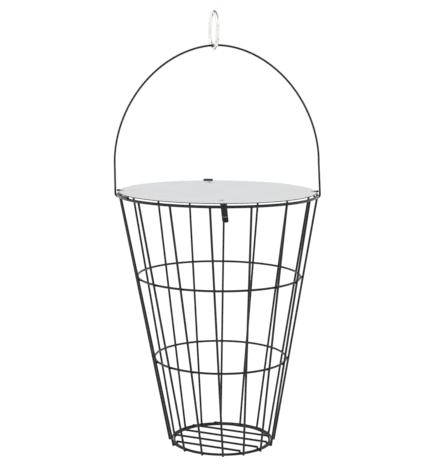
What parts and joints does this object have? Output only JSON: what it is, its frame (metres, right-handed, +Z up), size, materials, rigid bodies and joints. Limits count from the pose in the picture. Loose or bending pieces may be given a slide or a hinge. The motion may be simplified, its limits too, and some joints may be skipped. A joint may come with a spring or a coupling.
{
  "type": "hanging hay feeder basket",
  "caption": "Hanging wire hay basket that tapers to a barred floor, with a hinged flat sheet lid, a wire bail and a snap hook.",
  "frame": {"origin": "the point under the crown of the snap hook from which the feeder hangs", "axes": "+Z up, from the basket to the snap hook; the bail stands in the XZ plane; the latch is at -Y and the lid's hinge at +Y"},
  "size_m": [0.2562, 0.2539, 0.5396],
  "materials": {
    "cage_wire": "satin powder coat, near black",
    "lid_sheet": "satin light grey sheet",
    "dark_strip": "satin black",
    "plated_metal": "nickel plated, polished"
  },
  "bodies": {
    "snap_hook": {"snap_hook_body": "plated_metal", "gate_pin": "plated_metal"},
    "gate": {"snap_hook_gate": "plated_metal", "gate_spring": "plated_metal"},
    "bail": {"bail": "cage_wire"},
    "basket": {"rim_ring": "cage_wire", "hoop_upper": "cage_wire", "hoop_lower": "cage_wire", "base_ring": "cage_wire", "floor_ring": "cage_wire", "floor_bar_1": "cage_wire", "floor_bar_2": "cage_wire", "floor_bar_3": "cage_wire", "floor_bar_4": "cage_wire", "floor_bar_5": "cage_wire", "upright_01": "cage_wire", "upright_02": "cage_wire", "upright_03": "cage_wire", "upright_04": "cage_wire", "upright_05": "cage_wire", "upright_06": "cage_wire", "upright_07": "cage_wire", "upright_08": "cage_wire", "upright_09": "cage_wire", "upright_10": "cage_wire", "upright_11": "cage_wire", "upright_12": "cage_wire", "upright_13": "cage_wire", "upright_14": "cage_wire", "upright_15": "cage_wire", "upright_16": "cage_wire"},
    "lid": {"lid_disc": "lid_sheet", "lid_hinge": "dark_strip", "hinge_rivet": "plated_metal", "latch_bracket": "dark_strip", "latch_rivet": "plated_metal", "latch_pin": "plated_metal"},
    "latch": {"latch_clip": "dark_strip"}
  },
  "joints": [
    {"name": "gate_swing", "type": "hinge", "parent": "snap_hook", "child": "gate", "pos_m": [0.00414, -0.00717, -0.031], "axis": [-0.866, -0.5, 0], "range_deg": [0, 25], "stiffness_Nm_per_rad": 0.02, "springref_deg": -17.19},
    {"name": "bail_swing", "type": "hinge", "parent": "snap_hook", "child": "bail", "pos_m": [0, 0, -0.03745], "axis": [1, 0, 0], "range_deg": [-30, 30]},
    {"name": "basket_swing", "type": "hinge", "parent": "bail", "child": "basket", "pos_m": [0.0058, 0, -0.21942], "axis": [-1, 0, 0], "range_deg": [-30, 30]},
    {"name": "lid_swing", "type": "hinge", "parent": "basket", "child": "lid", "pos_m": [-0.0072, 0.12231, -0.21942], "axis": [-0.9968, -0.0802, 0], "range_deg": [0, 23.5]},
    {"name": "latch_swing", "type": "hinge", "parent": "lid", "child": "latch", "pos_m": [0.0127, -0.12504, -0.21666], "axis": [-0.9968, -0.0802, 0], "range_deg": [0, 170]}
  ]
}
